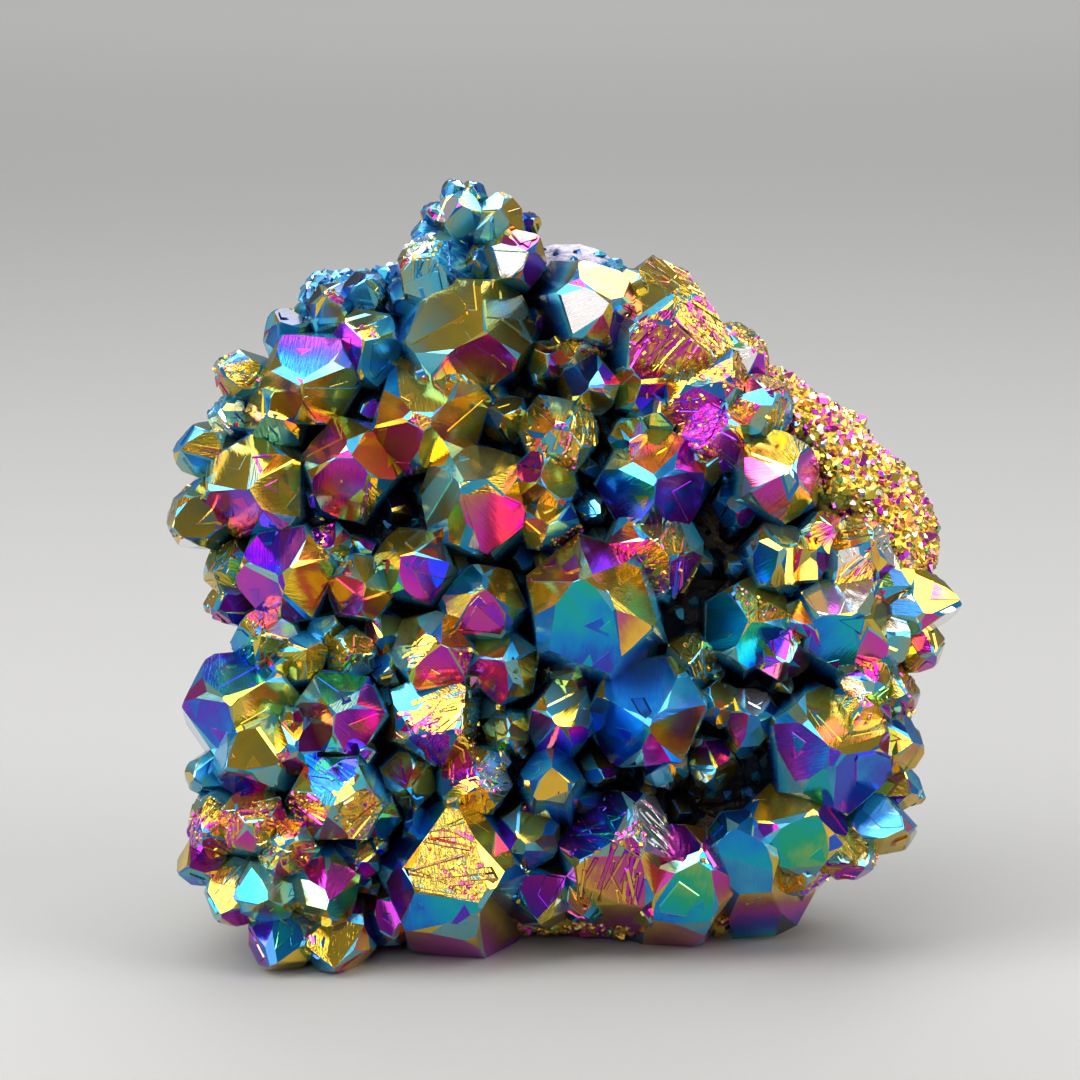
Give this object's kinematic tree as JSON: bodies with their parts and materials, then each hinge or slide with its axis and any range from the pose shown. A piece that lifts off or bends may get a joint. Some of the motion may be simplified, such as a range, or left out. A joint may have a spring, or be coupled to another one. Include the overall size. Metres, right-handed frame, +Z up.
{
  "type": "crystal druse",
  "caption": "Upright crust of stubby quartz points in a rainbow metal film, grown together on broken rock that leans back on its lower edge.",
  "frame": {"origin": "centre of the bounding box at its base, on the surface that the druzy stands on", "axes": "+X to the right across the crust as its points are looked at, +Y from the points to the broken back, +Z up"},
  "size_m": [0.1095, 0.0534, 0.105],
  "materials": {
    "aura_coating": "glossy iridescent titanium film over quartz"
  },
  "bodies": {
    "root": {"amethyst_druzy": "aura_coating"}
  },
  "joints": []
}
